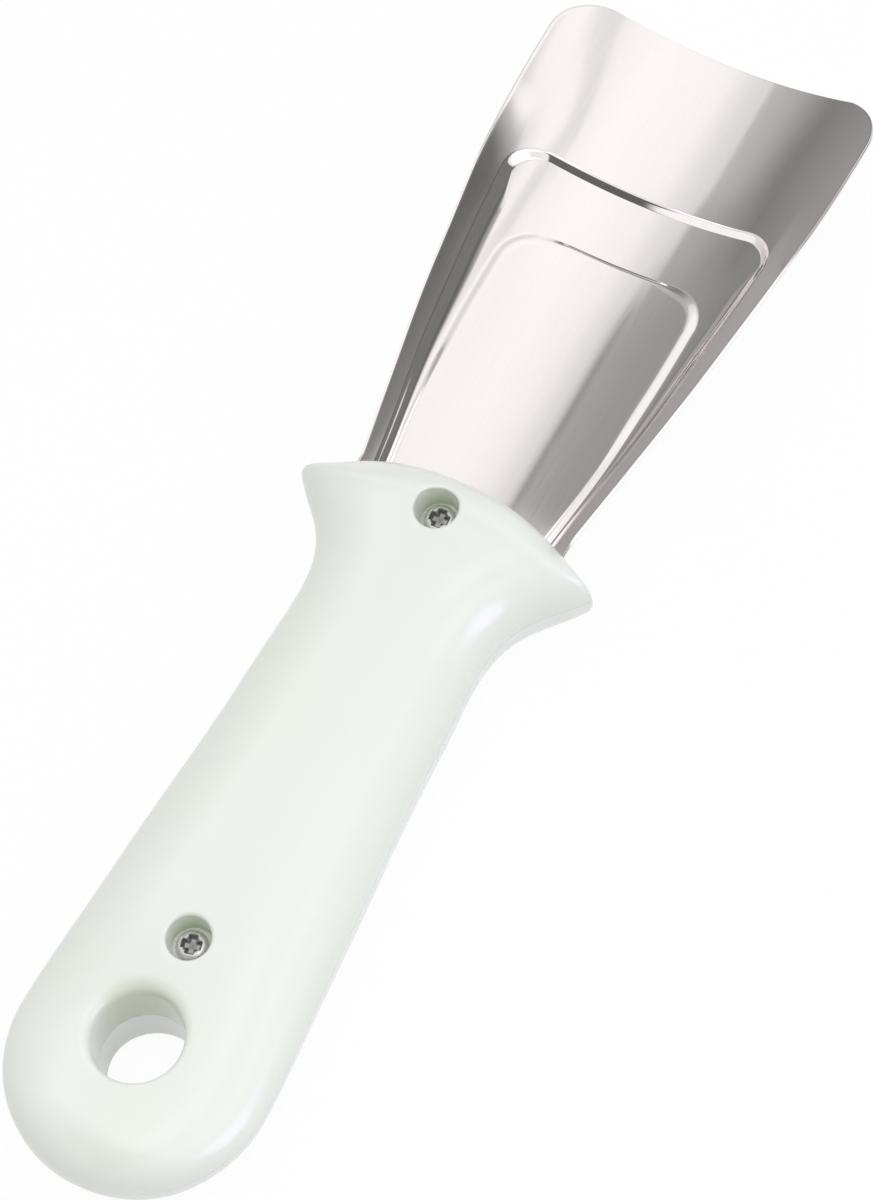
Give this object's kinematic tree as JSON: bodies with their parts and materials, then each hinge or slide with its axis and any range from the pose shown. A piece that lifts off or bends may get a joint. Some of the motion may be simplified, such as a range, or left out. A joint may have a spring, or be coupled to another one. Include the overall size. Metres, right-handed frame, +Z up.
{
  "type": "freezer ice scraper",
  "caption": "Hand scraper for freezer frost: curved stamped steel scoop blade clamped in a hollow moulded handle with a flared collar and a hanging hole.",
  "frame": {"origin": "middle of the bounding box in X and Y, at the height of the collar's lowest point, so the tool lies on Z = 0 with its screw heads up", "axes": "+X from the hanging hole towards the blade's front edge, +Y to the left of someone looking along +X, +Z up out of the blade's hollow side, along the screws towards their heads"},
  "size_m": [0.2356, 0.0632, 0.0251],
  "materials": {
    "handle_front": "pale mint, glossy moulded",
    "handle_back": "pale mint, glossy moulded",
    "blade": "polished stainless sheet",
    "screws": "bright plated"
  },
  "bodies": {
    "root": {"handle_front_shell": "handle_front", "handle_back_shell": "handle_back", "blade": "blade", "front_screw": "screws", "rear_screw": "screws"}
  },
  "joints": []
}
